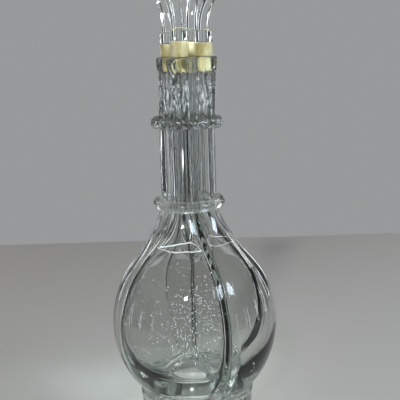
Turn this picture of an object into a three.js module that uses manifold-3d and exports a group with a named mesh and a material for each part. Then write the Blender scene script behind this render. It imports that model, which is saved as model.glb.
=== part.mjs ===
// Four-chamber glass decanter: four chambers side by side in one bulb, each with its own neck and stopper.
// Lengths are millimetres and +Z is up. The origin is the middle of the underside, on the decanter's axis.
// The walls between chambers lie on the planes X = 0 and Y = 0, and the necks stand on the diagonals.
import * as THREE from 'three';
import { mergeVertices } from 'three/addons/utils/BufferGeometryUtils.js';
import Module from 'manifold-3d';

const wasm = await Module();
wasm.setup();

const TOUCH_GAP = 0.3;            // left between two pieces that rest against each other

// Bulb
const BULB_RADIUS = 59;
const BULB_UNDERSIDE_Z = 12;      // flat underside of the bulb, clear of the table
const UNDERSIDE_RADIUS = 26;
const BULB_LOWER_HEIGHT = 64;     // vertical half-axis of the lower half
const BULB_UPPER_HEIGHT = 65.8;   // vertical half-axis of the dome above it
const PUNT_RADIUS = 23.8;         // dome pushed up into the underside
const PUNT_HEIGHT = 24;

// Shoulder, the sweep from the dome into the necks
const SHOULDER_RADIUS = 44.75;    // where the dome ends
const SHOULDER_LEAD = 16.4;       // reach of the sweep along the dome's slope
const SHOULDER_HEIGHT = 49.6;     // from the end of the dome up to the straight necks
const NECK_LEAD = 18.2;           // reach of the sweep along the necks

// Necks
const BUNDLE_RADIUS = 20;         // outline round the four necks
const MOUTH_BUNDLE_RADIUS = 21.2; // the same outline at the mouths
const NECK_HEIGHT = 94.6;         // from the shoulder up to the rims
const FLARE_HEIGHT = 42;          // the stretch under the rims over which the necks spread
const RIM_ROUND = 1.2;
const NECK_WALL = 3.2;

// Chambers
const BULB_WALL = 2.6;
const PARTITION = 4;              // glass between two chambers, both walls together
const FLOOR_Z = 20.5;             // depth that a chamber's bowl is drawn to
const FLOOR_ANGLE = 75;           // degrees below level at which the bowl closes with a small flat floor
const PUNT_COVER = 4.4;           // glass over the dome, which lifts the middle of the floors
const CORNER_SOFTNESS = 30;       // higher is sharper, outside
const CAVITY_SOFTNESS = 6;        // and inside

// Applied rings
const RING_RADIUS = 25.5;
const RING_SECTION = 4.3;         // radius of the drawn thread of glass
const LOWER_RING_DROP = 5.6;      // under the start of the straight necks
const RING_SPACING = 56;

// Foot
const FOOT_HEIGHT = 20.5;         // up to its seam with the bulb
const FOOT_LIP = 3.3;             // stands this far out from the seam
const FOOT_TAPER = 1.7;           // narrower at the table by this much
const FOOT_EDGE = 1.2;
const FOOT_RIM_WIDTH = 7.5;       // flat ring that it stands on
const FOOT_SEAT_RADIUS = 27;      // inner end of its seat under the bulb

// Stoppers: a soft plug with a collar, and a solid glass finial pegged into it
const COLLAR_RADIUS = 6.2;
const COLLAR_HEIGHTS = { back_right: 9.4, back_left: 8.2, front_left: 10.4, front_right: 8.9 };
const PLUG_RADIUS = 4.9;          // under the collar
const PLUG_TAPER = 0.6;
const PLUG_LENGTH = 9.5;
const PLUG_EDGE = 0.5;
const PEG_RADIUS = 3.4;
const PEG_LENGTH = 7.2;           // ends inside the collar, above the rim
const FINIAL_BASE_HEIGHT = 7.5;
const FINIAL_EDGE = 0.6;
const HORN_HEIGHT = 24.4;
const HORN_WIDTH = 8.8;           // across the way it bends
const HORN_DEPTH = 7.9;           // along the way it bends, at its root
const HORN_TIP_DEPTH = 6.3;
const HORN_REACH = 8.4;           // how far its tip leans out
const HORN_BEND = 2.4;            // power of the curve: higher keeps the root straighter
const HORN_TIP_ROUND = 3;
const FINIAL_TURNS = { back_left: -35 };  // degrees a finial stands turned from straight out

// Mesh fineness: points round a piece, then steps along its outline
const LOOP_POINTS = 32;
const CAVITY_POINTS = 20;
const STOPPER_POINTS = 16;
const FOOT_SEGMENTS = 40;
const RING_SEGMENTS = 32;
const PUNT_SEGMENTS = 24;
const LOWER_STEPS = 6;
const DOME_STEPS = 3;
const SWEEP_STEPS = 6;
const FLARE_STEPS = 2;
const BOWL_STEPS = 4;
const RING_STEPS = 10;
const FOOT_STEPS = 3;
const SEAT_STEPS = 5;
const HORN_LEVELS = [0.08, 0.25, 0.45, 0.62, 0.78, 0.9, 1];  // shares of the horn below its rounded tip
const TIP_LEVELS = [0.5, 0.8, 0.97];                          // shares of the tip
const MERGE_DISTANCE = 1e-4;

const QUARTERS = ['back_right', 'back_left', 'front_left', 'front_right'];

// Places that follow from the sizes
const equatorAngle = Math.acos(UNDERSIDE_RADIUS / BULB_RADIUS);
const equatorZ = BULB_UNDERSIDE_Z + BULB_LOWER_HEIGHT * Math.sin(equatorAngle);
const domeAngle = Math.acos(SHOULDER_RADIUS / BULB_RADIUS);
const shoulderZ = equatorZ + BULB_UPPER_HEIGHT * Math.sin(domeAngle);
const neckBaseZ = shoulderZ + SHOULDER_HEIGHT;
const rimZ = neckBaseZ + NECK_HEIGHT;
const flareZ = rimZ - FLARE_HEIGHT;
const lowerRingZ = neckBaseZ - LOWER_RING_DROP;
const upperRingZ = lowerRingZ + RING_SPACING;

const mouth = quarterCircle(MOUTH_BUNDLE_RADIUS, TOUCH_GAP / 2);
const mouthWall = mouth.radius - PLUG_RADIUS - TOUCH_GAP;

const glass = new THREE.MeshStandardMaterial({
  color: 0xdfe9e4,
  roughness: 0.05,
  transparent: true,
  opacity: 0.4,
});
const plastic = new THREE.MeshStandardMaterial({ color: 0xd6c98c, roughness: 0.45 });

// Geometry helpers

// The largest circle in a quarter disc whose straight sides lie inset from the X and Y planes.
function quarterCircle(radius, inset) {
  const inner = (radius - Math.SQRT2 * inset) / (1 + Math.SQRT2);
  return { centre: inset + inner, radius: inner };
}

// Closes a stack of loops, each counter-clockwise seen from above, into a solid with a fan at each end.
function loft(loops) {
  const count = loops[0].length;
  const points = loops.flat();
  const indices = [];
  for (let row = 0; row < loops.length - 1; row++) {
    for (let i = 0; i < count; i++) {
      const a = row * count + i;
      const b = row * count + ((i + 1) % count);
      indices.push(a, b, b + count, a, b + count, a + count);
    }
  }
  const bottom = points.push(middleOf(loops[0])) - 1;
  const top = points.push(middleOf(loops.at(-1))) - 1;
  const lastRow = (loops.length - 1) * count;
  for (let i = 0; i < count; i++) {
    const next = (i + 1) % count;
    indices.push(bottom, next, i, top, lastRow + i, lastRow + next);
  }
  const geometry = new THREE.BufferGeometry().setFromPoints(points);
  geometry.setIndex(indices);
  geometry.computeVertexNormals();
  return geometry;
}

function middleOf(loop) {
  const sum = new THREE.Vector3();
  loop.forEach((point) => sum.add(point));
  return sum.divideScalar(loop.length);
}

// Turns a profile of (radius, height) points about the Z axis.
function turned(points, segments) {
  return new THREE.LatheGeometry(points, segments).rotateX(Math.PI / 2);
}

function toSolid(geometry) {
  const bare = geometry.clone();
  bare.deleteAttribute('normal');
  bare.deleteAttribute('uv');
  const merged = mergeVertices(bare, MERGE_DISTANCE);
  const corners = merged.index.array;
  const triVerts = [];
  for (let i = 0; i < corners.length; i += 3) {
    const [a, b, c] = corners.slice(i, i + 3);
    if (a !== b && b !== c && c !== a) triVerts.push(a, b, c);
  }
  const vertProperties = new Float32Array(merged.attributes.position.array);
  const mesh = new wasm.Mesh({ numProp: 3, vertProperties, triVerts: new Uint32Array(triVerts) });
  return new wasm.Manifold(mesh);
}

function toGeometry(solid) {
  const { vertProperties, triVerts } = solid.getMesh();
  const geometry = new THREE.BufferGeometry();
  geometry.setAttribute('position', new THREE.BufferAttribute(new Float32Array(vertProperties), 3));
  geometry.setIndex(new THREE.BufferAttribute(new Uint32Array(triVerts), 1));
  geometry.computeVertexNormals();
  return geometry;
}

function named(name, geometry, material) {
  const mesh = new THREE.Mesh(geometry, material);
  mesh.name = name;
  return mesh;
}

// Chambers

// One level of a chamber in the quarter where X and Y are positive. In the bulb it is a quarter disc with
// softened corners, and as roundness goes to 1 it becomes the round neck inside that quarter disc.
function chamberLoop({ z, radius, inset, roundness }, softness, pointCount) {
  const tube = quarterCircle(radius, inset);
  const loop = [];
  for (let i = 0; i < pointCount; i++) {
    const angle = Math.PI / 4 + (2 * Math.PI * i) / pointCount;
    const [dx, dy] = [Math.cos(angle), Math.sin(angle)];
    const along = tube.centre * (dx + dy);
    const toOutline = Math.sqrt(along ** 2 + radius ** 2 - 2 * tube.centre ** 2) - along;
    const reaches = [toOutline];
    if (dx < 0) reaches.push(tube.radius / -dx);
    if (dy < 0) reaches.push(tube.radius / -dy);
    const soft = reaches.reduce((sum, reach) => sum + reach ** -softness, 0) ** (-1 / softness);
    const reach = THREE.MathUtils.lerp(soft, tube.radius, roundness);
    loop.push(new THREE.Vector3(tube.centre + reach * dx, tube.centre + reach * dy, z));
  }
  return loop;
}

// Outline of the bulb and necks above the widest height, as levels of height, radius and roundness.
function upperOutline() {
  const dome = new THREE.EllipseCurve(0, equatorZ, BULB_RADIUS, BULB_UPPER_HEIGHT, 0, domeAngle);
  const slope = dome.getTangent(1);
  const sweep = new THREE.CubicBezierCurve(
    new THREE.Vector2(SHOULDER_RADIUS, shoulderZ),
    new THREE.Vector2(SHOULDER_RADIUS, shoulderZ).addScaledVector(slope, SHOULDER_LEAD),
    new THREE.Vector2(BUNDLE_RADIUS, neckBaseZ - NECK_LEAD),
    new THREE.Vector2(BUNDLE_RADIUS, neckBaseZ),
  );
  const flare = new THREE.QuadraticBezierCurve(
    new THREE.Vector2(BUNDLE_RADIUS, flareZ),
    new THREE.Vector2(BUNDLE_RADIUS, (flareZ + rimZ) / 2),
    new THREE.Vector2(MOUTH_BUNDLE_RADIUS, rimZ - RIM_ROUND),
  );
  const points = [
    ...dome.getPoints(DOME_STEPS),
    ...sweep.getPoints(SWEEP_STEPS).slice(1),
    ...flare.getPoints(FLARE_STEPS),
  ];
  return points.map((point) => ({
    z: point.y,
    radius: point.x,
    roundness: THREE.MathUtils.smoothstep(point.y, shoulderZ, neckBaseZ),
  }));
}

// The outside of one chamber and its neck, grown by a clearance when it is used to cut what wraps it.
function chamberBody(growth) {
  const inset = TOUCH_GAP / 2 - growth;
  const lower = new THREE.EllipseCurve(0, equatorZ, BULB_RADIUS, BULB_LOWER_HEIGHT, -equatorAngle, 0);
  const levels = lower.getPoints(LOWER_STEPS).map((point) => ({
    z: point.y,
    radius: point.x,
    roundness: 0,
  }));
  levels.push(...upperOutline().slice(1));
  levels.push({ z: rimZ, radius: MOUTH_BUNDLE_RADIUS - RIM_ROUND, roundness: 1 });
  const loops = levels.map(({ z, radius, roundness }) => {
    const atRim = z === rimZ ? RIM_ROUND : 0;
    const level = { z, radius: radius + growth, inset: inset + atRim, roundness };
    return chamberLoop(level, CORNER_SOFTNESS, LOOP_POINTS);
  });
  return toSolid(loft(loops));
}

// The hollow of one chamber, up its neck and out through the mouth.
function chamberHollow() {
  const partitionInset = (TOUCH_GAP + PARTITION) / 2;
  const widest = BULB_RADIUS - BULB_WALL;
  const bowlStart = -THREE.MathUtils.degToRad(FLOOR_ANGLE);
  const bowl = new THREE.EllipseCurve(0, equatorZ, widest, equatorZ - FLOOR_Z, bowlStart, 0);
  const levels = bowl.getPoints(BOWL_STEPS).map((point) => ({
    z: point.y,
    radius: point.x,
    inset: partitionInset,
    roundness: 0,
  }));
  for (const { z, radius, roundness } of upperOutline().slice(1)) {
    const intoFlare = THREE.MathUtils.smoothstep(z, flareZ, rimZ);
    const neckWall = THREE.MathUtils.lerp(NECK_WALL, mouthWall, intoFlare);
    const wall = THREE.MathUtils.lerp(BULB_WALL, neckWall, roundness);
    const inset = THREE.MathUtils.lerp(partitionInset, TOUCH_GAP / 2 + neckWall, roundness);
    levels.push({ z, radius: radius - wall, inset, roundness });
  }
  const top = levels.at(-1);
  levels.push({ ...top, z: rimZ + RIM_ROUND });
  return toSolid(loft(levels.map((level) => chamberLoop(level, CAVITY_SOFTNESS, CAVITY_POINTS))));
}

// The dome in the underside, grown by the thickness of the glass that covers it.
function punt(growth) {
  const dome = new THREE.SphereGeometry(1, PUNT_SEGMENTS, PUNT_SEGMENTS / 2).rotateX(Math.PI / 2);
  dome.scale(PUNT_RADIUS + growth, PUNT_RADIUS + growth, PUNT_HEIGHT + growth);
  return toSolid(dome.translate(0, 0, BULB_UNDERSIDE_Z));
}

function chamberGeometry() {
  const hollow = chamberHollow().subtract(punt(PUNT_COVER));
  return toGeometry(chamberBody(0).subtract(hollow).subtract(punt(0)));
}

// Rings and foot

function ringGeometry(z) {
  const section = new THREE.EllipseCurve(RING_RADIUS - RING_SECTION, z, RING_SECTION, RING_SECTION);
  let ring = toSolid(turned(section.getPoints(RING_STEPS), RING_SEGMENTS));
  const neck = chamberBody(TOUCH_GAP);
  for (let quarter = 0; quarter < QUARTERS.length; quarter++) {
    ring = ring.subtract(neck.rotate([0, 0, quarter * 90]));
  }
  return toGeometry(ring);
}

function footGeometry() {
  const seatTopAngle = Math.asin((equatorZ - FOOT_HEIGHT) / BULB_LOWER_HEIGHT);
  const seatLowAngle = Math.acos(FOOT_SEAT_RADIUS / BULB_RADIUS);
  const seat = new THREE.EllipseCurve(
    0, equatorZ,
    BULB_RADIUS + TOUCH_GAP, BULB_LOWER_HEIGHT + TOUCH_GAP,
    -seatTopAngle, -seatLowAngle, true,
  );
  const seatPoints = seat.getPoints(SEAT_STEPS);
  const lipRadius = seatPoints[0].x + FOOT_LIP;
  const baseRadius = lipRadius - FOOT_TAPER;
  const outline = new THREE.Path();
  outline.moveTo(baseRadius - FOOT_EDGE - FOOT_RIM_WIDTH, 0);
  outline.lineTo(baseRadius - FOOT_EDGE, 0);
  outline.quadraticCurveTo(baseRadius, 0, baseRadius, FOOT_EDGE);
  outline.quadraticCurveTo(baseRadius, FOOT_HEIGHT / 2, lipRadius, FOOT_HEIGHT - FOOT_LIP);
  outline.quadraticCurveTo(lipRadius, FOOT_HEIGHT - FOOT_EDGE / 2, seatPoints[0].x, seatPoints[0].y);
  seatPoints.slice(1).forEach((point) => outline.lineTo(point.x, point.y));
  outline.closePath();
  return turned(outline.getPoints(FOOT_STEPS), FOOT_SEGMENTS);
}

// Stoppers, in their own frame: the rim of the mouth is at Z = 0 and +X points away from
// the decanter's axis

function plugGeometry(collarHeight) {
  const underside = TOUCH_GAP;
  const top = underside + collarHeight;
  const holeRadius = PEG_RADIUS + TOUCH_GAP;
  const tipRadius = PLUG_RADIUS - PLUG_TAPER;
  const profile = [
    [0, -PLUG_LENGTH],
    [tipRadius - PLUG_EDGE, -PLUG_LENGTH],
    [tipRadius, PLUG_EDGE - PLUG_LENGTH],
    [PLUG_RADIUS, underside],
    [COLLAR_RADIUS, underside],
    [COLLAR_RADIUS, top],
    [holeRadius, top],
    [holeRadius, top - PEG_LENGTH],
    [0, top - PEG_LENGTH],
  ];
  return turned(profile.map(([radius, z]) => new THREE.Vector2(radius, z)), STOPPER_POINTS);
}

function ovalLoop(centre, depthAxis, halfDepth, halfWidth) {
  const loop = [];
  for (let i = 0; i < STOPPER_POINTS; i++) {
    const angle = (2 * Math.PI * i) / STOPPER_POINTS;
    const point = centre.clone().addScaledVector(depthAxis, halfDepth * Math.cos(angle));
    point.y += halfWidth * Math.sin(angle);
    loop.push(point);
  }
  return loop;
}

function roundLoop(radius, z) {
  return ovalLoop(new THREE.Vector3(0, 0, z), new THREE.Vector3(1, 0, 0), radius, radius);
}

// One level of the horn, square to its curved middle line.
function hornLoop(height) {
  const rise = height / HORN_HEIGHT;
  const centre = new THREE.Vector3(HORN_REACH * rise ** HORN_BEND, 0, height);
  const lean = (HORN_REACH * HORN_BEND * rise ** (HORN_BEND - 1)) / HORN_HEIGHT;
  const depthAxis = new THREE.Vector3(1, 0, -lean).normalize();
  const intoTip = Math.max(0, (height - HORN_HEIGHT + HORN_TIP_ROUND) / HORN_TIP_ROUND);
  const tip = Math.sqrt(Math.max(0, 1 - intoTip ** 2));
  const halfDepth = (THREE.MathUtils.lerp(HORN_DEPTH, HORN_TIP_DEPTH, rise) / 2) * tip;
  return ovalLoop(centre, depthAxis, halfDepth, (HORN_WIDTH / 2) * tip);
}

function finialGeometry(collarHeight) {
  const baseZ = collarHeight + 2 * TOUCH_GAP;
  const shoulder = baseZ + FINIAL_BASE_HEIGHT;
  const loops = [
    roundLoop(PEG_RADIUS - FINIAL_EDGE, baseZ - PEG_LENGTH + TOUCH_GAP),
    roundLoop(PEG_RADIUS, baseZ - PEG_LENGTH + TOUCH_GAP + FINIAL_EDGE),
    roundLoop(PEG_RADIUS, baseZ),
    roundLoop(COLLAR_RADIUS, baseZ),
    roundLoop(COLLAR_RADIUS, shoulder - FINIAL_EDGE),
    roundLoop(COLLAR_RADIUS - FINIAL_EDGE, shoulder),
  ];
  const straight = HORN_HEIGHT - HORN_TIP_ROUND;
  const heights = HORN_LEVELS.map((share) => share * straight);
  heights.push(...TIP_LEVELS.map((share) => straight + share * HORN_TIP_ROUND));
  for (const height of heights) {
    loops.push(hornLoop(height).map((point) => point.setZ(point.z + shoulder)));
  }
  return loft(loops);
}

// Assembly

const decanter = new THREE.Group();
QUARTERS.forEach((quarter, turn) => {
  const chamber = named(`chamber_${quarter}`, chamberGeometry(), glass.clone());
  chamber.rotation.z = (turn * Math.PI) / 2;
  decanter.add(chamber);

  const stopper = new THREE.Group();
  const bearing = Math.PI / 4 + (turn * Math.PI) / 2;
  const reach = mouth.centre * Math.SQRT2;
  stopper.position.set(reach * Math.cos(bearing), reach * Math.sin(bearing), rimZ);
  stopper.rotation.z = bearing;
  const collarHeight = COLLAR_HEIGHTS[quarter];
  stopper.add(named(`plug_${quarter}`, plugGeometry(collarHeight), plastic.clone()));
  const finial = named(`finial_${quarter}`, finialGeometry(collarHeight), glass.clone());
  finial.rotation.z = THREE.MathUtils.degToRad(FINIAL_TURNS[quarter] ?? 0);
  stopper.add(finial);
  decanter.add(stopper);
});
decanter.add(named('ring_lower', ringGeometry(lowerRingZ), glass.clone()));
decanter.add(named('ring_upper', ringGeometry(upperRingZ), glass.clone()));
decanter.add(named('foot', footGeometry(), glass.clone()));

export default decanter;
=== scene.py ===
# Four-chamber glass decanter with its four stoppers. Lengths are metres, in the frame of the part.
import math

import bpy
import numpy as np
from mathutils import Matrix, Vector


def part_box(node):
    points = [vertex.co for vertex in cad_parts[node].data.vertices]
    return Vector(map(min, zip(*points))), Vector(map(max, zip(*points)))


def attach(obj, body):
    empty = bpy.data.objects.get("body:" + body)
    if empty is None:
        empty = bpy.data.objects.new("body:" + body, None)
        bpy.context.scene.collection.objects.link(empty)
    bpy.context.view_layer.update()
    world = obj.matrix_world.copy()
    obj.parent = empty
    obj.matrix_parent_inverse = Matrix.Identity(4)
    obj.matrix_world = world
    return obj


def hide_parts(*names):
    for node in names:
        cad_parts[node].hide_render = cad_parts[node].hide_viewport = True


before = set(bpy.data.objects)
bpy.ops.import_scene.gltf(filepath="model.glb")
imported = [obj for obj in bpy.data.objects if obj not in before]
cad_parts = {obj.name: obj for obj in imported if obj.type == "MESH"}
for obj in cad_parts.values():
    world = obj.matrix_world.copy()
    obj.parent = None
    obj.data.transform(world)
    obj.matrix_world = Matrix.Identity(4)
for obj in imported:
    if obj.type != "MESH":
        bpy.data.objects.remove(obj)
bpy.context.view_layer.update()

QUARTERS = ("back_right", "back_left", "front_left", "front_right")
CHAMBERS = [f"chamber_{quarter}" for quarter in QUARTERS]
RINGS = ("ring_lower", "ring_upper")
CAMERA_AZIMUTH = math.radians(-25)
CAMERA_BEARING = CAMERA_AZIMUTH - math.radians(90)   # of the camera from the object's axis


def node_low(node):
    return Vector(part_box(node)[0])


def node_high(node):
    return Vector(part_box(node)[1])


def plug_middle(quarter):
    return (node_low(f"plug_{quarter}") + node_high(f"plug_{quarter}")) / 2


# Glass body sizes
BULB_RADIUS = 0.0587
UNDERSIDE_RADIUS = 0.026
BULB_LOWER_HEIGHT = 0.064
BULB_UPPER_HEIGHT = 0.0658
SHOULDER_RADIUS = 0.04475
SHOULDER_LEAD = 0.0164
SHOULDER_HEIGHT = 0.0496
NECK_LEAD = 0.0182
BUNDLE_RADIUS = 0.020
MOUTH_BUNDLE_RADIUS = 0.0212
FLARE_HEIGHT = 0.042
NECK_WALL = 0.0032
BULB_WALL = 0.0026
HALF_PARTITION = 0.0018
MOUTH_BORE = 0.0052
FLOOR_Z = 0.0205
CORNER_ROUND = 0.006          # inside corners of a chamber along the seams
AXIS_ROUND = 0.0011           # and along the decanter's axis
AXIS_ZONE = (0.008, 0.024)    # distance from the axis over which one becomes the other
WIDEST_ROUND = 0.85           # of the radius of the bore
PUNT_RADIUS = 0.0238
PUNT_HEIGHT = 0.024
PUNT_COVER = 0.0044           # glass between the dome in the underside and a chamber's floor
FOOT_TAPER = 0.0017
FOOT_CURVE = 1.6              # how late the foot's side comes out to its full radius
FOOT_TOP_GAP = 0.0005
FOOT_HOLLOW_RADIUS = 0.0308
FOOT_SEAT_RADIUS = 0.0275
FOOT_SEAT_Z = 0.0124
FOOT_HOLLOW_END = 1.6         # of the seat's height

# Soft joins in the glass
WEB_BLEND = 0.0022            # between two necks
SEAT_GAP = 0.00015            # between the body and the rings and foot that sit on it
SEAT_BLEND = 0.0005
LIP_SIZE = 0.0007             # rounded lip of a mouth
LIP_HEIGHT = 0.0040
LEAN = 0.0014                 # the necks stand this far to one side between the rings
LEAN_WAY = (-0.906, 0.423)    # the camera's left
LEAN_END = 0.055              # below the rims, where they start to come back
PLUG_REACH = 0.014            # and where they are back in line with the plugs
BODY_RIPPLE = 0.00010         # slow unevenness of the outside
BORE_RIPPLE = 0.00012         # and of the inside
OUTSIDE_PHASE = 1.3
INSIDE_PHASE = 4.2
WAVE_LENGTHS = (0.0071, 0.0083, 0.0125)
WAVE_SWAYS = (0.019, 0.023, 0.03)
ALONG_SHARE = 0.7             # of the waves along the height against those across
RIM_BLEND = 0.0016
EDGE_BLEND = 0.0020
FOOT_TOP_BLEND = 0.0036
GROOVE_DEPTH = 0.0007         # furrow on the outside where two chambers meet
GROOVE_WIDTH = 0.0012
GROOVE_END = 0.02             # behind the axis, where the seam at the back has lost its furrow
WRINKLE_REACH = 0.050         # uneven inside of the necks, down from the rims
WRINKLE_FULL = 0.030          # below the rims, where it is at its deepest
WRINKLE_DEPTH = 0.00018
WRINKLE_LENGTHS = (0.0011, 0.0013, 0.0012)
WRINKLE_SWAYS = (0.0031, 0.0043, 0.0027, 0.0023)

# Unevenness of the two glass threads laid round the necks
THREAD_SLACK = 0.00025        # thinner than the solid ring, so that the rest stays inside it
THREAD_SWELL = 0.00022        # thicker and thinner along its length
THREAD_SWAY = 0.00025         # out and in
THREAD_RISE = 0.00035         # up and down
RING_PHASES = (0.4, 2.1)

# Grid that the glass surface is drawn from, and points of its outline
OUTLINE_POINTS = 400
FLARE_POINTS = 60
CELL = 0.00125
FINE_CELL = 0.0007            # near the seams and rings
GRID_MARGIN = 3               # cells outside the surface
SEAM_ZONE = 0.0045
SHOULDER_ZONE = 0.012
SLOPE_REACH = 0.0001
PULL_ROUNDS = 4
LONGEST_PULL = 0.0006
FLATTEST_SLOPE = 0.05         # smallest squared slope that a pull is divided by

# Heights taken from the frame
RIM_Z = node_high(CHAMBERS[0]).z
UNDERSIDE_Z = node_low(CHAMBERS[0]).z
RING_RADIUS = node_high("ring_upper").x
RING_SECTION = (node_high("ring_upper").z - node_low("ring_upper").z) / 2
RING_HEIGHTS = [node_low(name).z + RING_SECTION for name in RINGS]
FOOT_RADIUS = node_high("foot").x
FOOT_TOP_Z = node_high("foot").z

EQUATOR_Z = UNDERSIDE_Z + BULB_LOWER_HEIGHT * math.sin(math.acos(UNDERSIDE_RADIUS / BULB_RADIUS))
DOME_ANGLE = math.acos(SHOULDER_RADIUS / BULB_RADIUS)
SHOULDER_Z = EQUATOR_Z + BULB_UPPER_HEIGHT * math.sin(DOME_ANGLE)
NECK_BASE_Z = SHOULDER_Z + SHOULDER_HEIGHT
FLARE_Z = RIM_Z - FLARE_HEIGHT

# Mesh helpers


def mesh_object(name, points, faces, material, body):
    mesh = bpy.data.meshes.new(name)
    mesh.from_pydata([tuple(p) for p in points], [], [tuple(f) for f in faces])
    mesh.validate()
    mesh.shade_smooth()
    piece = bpy.data.objects.new(name, mesh)
    bpy.context.collection.objects.link(piece)
    mesh.materials.append(material)
    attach(piece, body)
    return piece


def smoothstep(value, low, high):
    """0 below low and 1 above high, smooth between them."""
    share = np.clip((value - low) / (high - low), 0.0, 1.0)
    return share * share * (3 - 2 * share)


def soft_union(a, b, blend):
    """Field of two shapes joined by a fillet."""
    share = np.clip(0.5 + 0.5 * (b - a) / blend, 0.0, 1.0)
    return b * (1 - share) + a * share - blend * share * (1 - share)


def soft_both(a, b, blend):
    """Field of what two shapes share, with its edges rounded."""
    return -soft_union(-a, -b, blend)


def bezier(p0, p1, p2, p3, count):
    t = np.linspace(0, 1, count)[:, None]
    points = [np.array(p) for p in (p0, p1, p2, p3)]
    return ((1 - t) ** 3 * points[0] + 3 * (1 - t) ** 2 * t * points[1]
            + 3 * (1 - t) * t ** 2 * points[2] + t ** 3 * points[3])


# Glass body as a field that is negative inside the glass


def upper_outline():
    """Radius of the bulb and of the bundle of necks at every height above the widest one."""
    angle = np.linspace(0, DOME_ANGLE, OUTLINE_POINTS)
    dome = np.stack([BULB_RADIUS * np.cos(angle), EQUATOR_Z + BULB_UPPER_HEIGHT * np.sin(angle)], 1)
    slope = np.array([-BULB_RADIUS * math.sin(DOME_ANGLE), BULB_UPPER_HEIGHT * math.cos(DOME_ANGLE)])
    slope /= np.linalg.norm(slope)
    start = np.array([SHOULDER_RADIUS, SHOULDER_Z])
    sweep = bezier(start, start + slope * SHOULDER_LEAD, (BUNDLE_RADIUS, NECK_BASE_Z - NECK_LEAD),
                   (BUNDLE_RADIUS, NECK_BASE_Z), OUTLINE_POINTS)
    t = np.linspace(0, 1, FLARE_POINTS)[:, None]
    flare = np.hstack([BUNDLE_RADIUS + (MOUTH_BUNDLE_RADIUS - BUNDLE_RADIUS) * t ** 2,
                       FLARE_Z + FLARE_HEIGHT * t])
    return np.vstack([dome, sweep[1:], flare])


OUTLINE = upper_outline()
OUTLINE_SLOPE = np.gradient(OUTLINE[:, 0], OUTLINE[:, 1])


def quarter_circle(radius, inset):
    """Centre and radius of the circle between two walls and the bundle's outside."""
    inner = (radius - math.sqrt(2) * inset) / (1 + math.sqrt(2))
    return inset + inner, inner


def ripple(x, y, z, phase):
    """Slow unevenness of hand-worked glass, about -1 to 1."""
    length_x, length_y, length_z = WAVE_LENGTHS
    sway_x, sway_y, sway_z = WAVE_SWAYS
    one = np.sin(x / length_x + 0.6 * np.sin(z / sway_x + phase) + phase)
    other = np.sin(y / length_y - 0.5 * np.sin(z / sway_y) + 2 * phase)
    along = np.sin(z / length_z + x / sway_z + phase)
    return (one * other + ALONG_SHARE * along) / (1 + ALONG_SHARE)


def crumple(x, y, z):
    """Short irregular waves, about -1 to 1."""
    length_x, length_y, length_z = WRINKLE_LENGTHS
    sway_x, sway_y, sway_z, cross = WRINKLE_SWAYS
    one = np.sin(x / length_x + 2.2 * np.sin(z / sway_x))
    other = np.sin(y / length_y + 1.7 * np.sin(z / sway_y + 1))
    along = np.sin(z / length_z + 3 * np.sin(x / sway_z) + 2 * np.sin(y / cross))
    return one * other + 0.6 * along


def upright(x, y, z):
    """Takes off the slight lean of the necks between the rings."""
    start = smoothstep(z, SHOULDER_Z, NECK_BASE_Z)
    end = 1 - smoothstep(z, RIM_Z - LEAN_END, RIM_Z - PLUG_REACH)
    return x - LEAN * start * end * LEAN_WAY[0], y - LEAN * start * end * LEAN_WAY[1]


def body_outside(x, y, z):
    """The fused chambers and necks, with the dome pushed up into the underside."""
    x, y = upright(x, y, z)
    rho = np.hypot(x, y)
    radius = np.interp(z, OUTLINE[:, 1], OUTLINE[:, 0])
    steep = 1 / np.sqrt(1 + np.interp(z, OUTLINE[:, 1], OUTLINE_SLOPE) ** 2)
    lower = (np.sqrt((rho / BULB_RADIUS) ** 2 + ((z - EQUATOR_Z) / BULB_LOWER_HEIGHT) ** 2) - 1) * BULB_RADIUS
    bulb = np.where(z < EQUATOR_Z, lower, (rho - radius) * steep)
    bulb = soft_both(bulb, UNDERSIDE_Z - z, EDGE_BLEND)

    lip = LIP_SIZE * np.exp(-((RIM_Z - LIP_HEIGHT - z) / LIP_HEIGHT) ** 2)
    centre, tube = quarter_circle(radius, 0.0)
    near, far = np.abs(x), np.abs(y)
    own = np.hypot(near - centre, far - centre) - tube
    across_x = np.hypot(-near - centre, far - centre) - tube
    across_y = np.hypot(near - centre, -far - centre) - tube
    necks = soft_union(soft_union(own, across_x, WEB_BLEND), across_y, WEB_BLEND) - lip
    roundness = smoothstep(z, SHOULDER_Z, NECK_BASE_Z)
    seam = np.minimum(near, far)
    on_back = np.where(near < far, smoothstep(y, 0, GROOVE_END), 0)
    furrow = GROOVE_DEPTH * (1 - on_back) * np.exp(-(seam / GROOVE_WIDTH) ** 2)
    body = (bulb + furrow) * (1 - roundness) + necks * roundness
    body = soft_both(body, z - RIM_Z, RIM_BLEND) + BODY_RIPPLE * ripple(x, y, z, OUTSIDE_PHASE)
    punt = (np.sqrt((rho / PUNT_RADIUS) ** 2 + ((z - UNDERSIDE_Z) / PUNT_HEIGHT) ** 2) - 1) * PUNT_HEIGHT
    return soft_both(body, -punt, EDGE_BLEND)


def ring_thread(ring_z, phase):
    """Field of the drawn thread of glass laid round the necks at one height."""
    def field(x, y, z):
        x, y = upright(x, y, z)
        seat = np.interp(z, OUTLINE[:, 1], OUTLINE[:, 0]) + SEAT_GAP - np.hypot(x, y)
        angle = np.arctan2(y, x)
        section = RING_SECTION - THREAD_SLACK + THREAD_SWELL * np.sin(2 * angle + phase)
        middle = RING_RADIUS - RING_SECTION + THREAD_SWAY * np.cos(4 * angle - math.pi)
        height = ring_z + THREAD_RISE * np.sin(angle + 2 * phase)
        thread = np.hypot(np.hypot(x, y) - middle, z - height) - section
        return soft_both(thread, seat, SEAT_BLEND)
    return field


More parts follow.
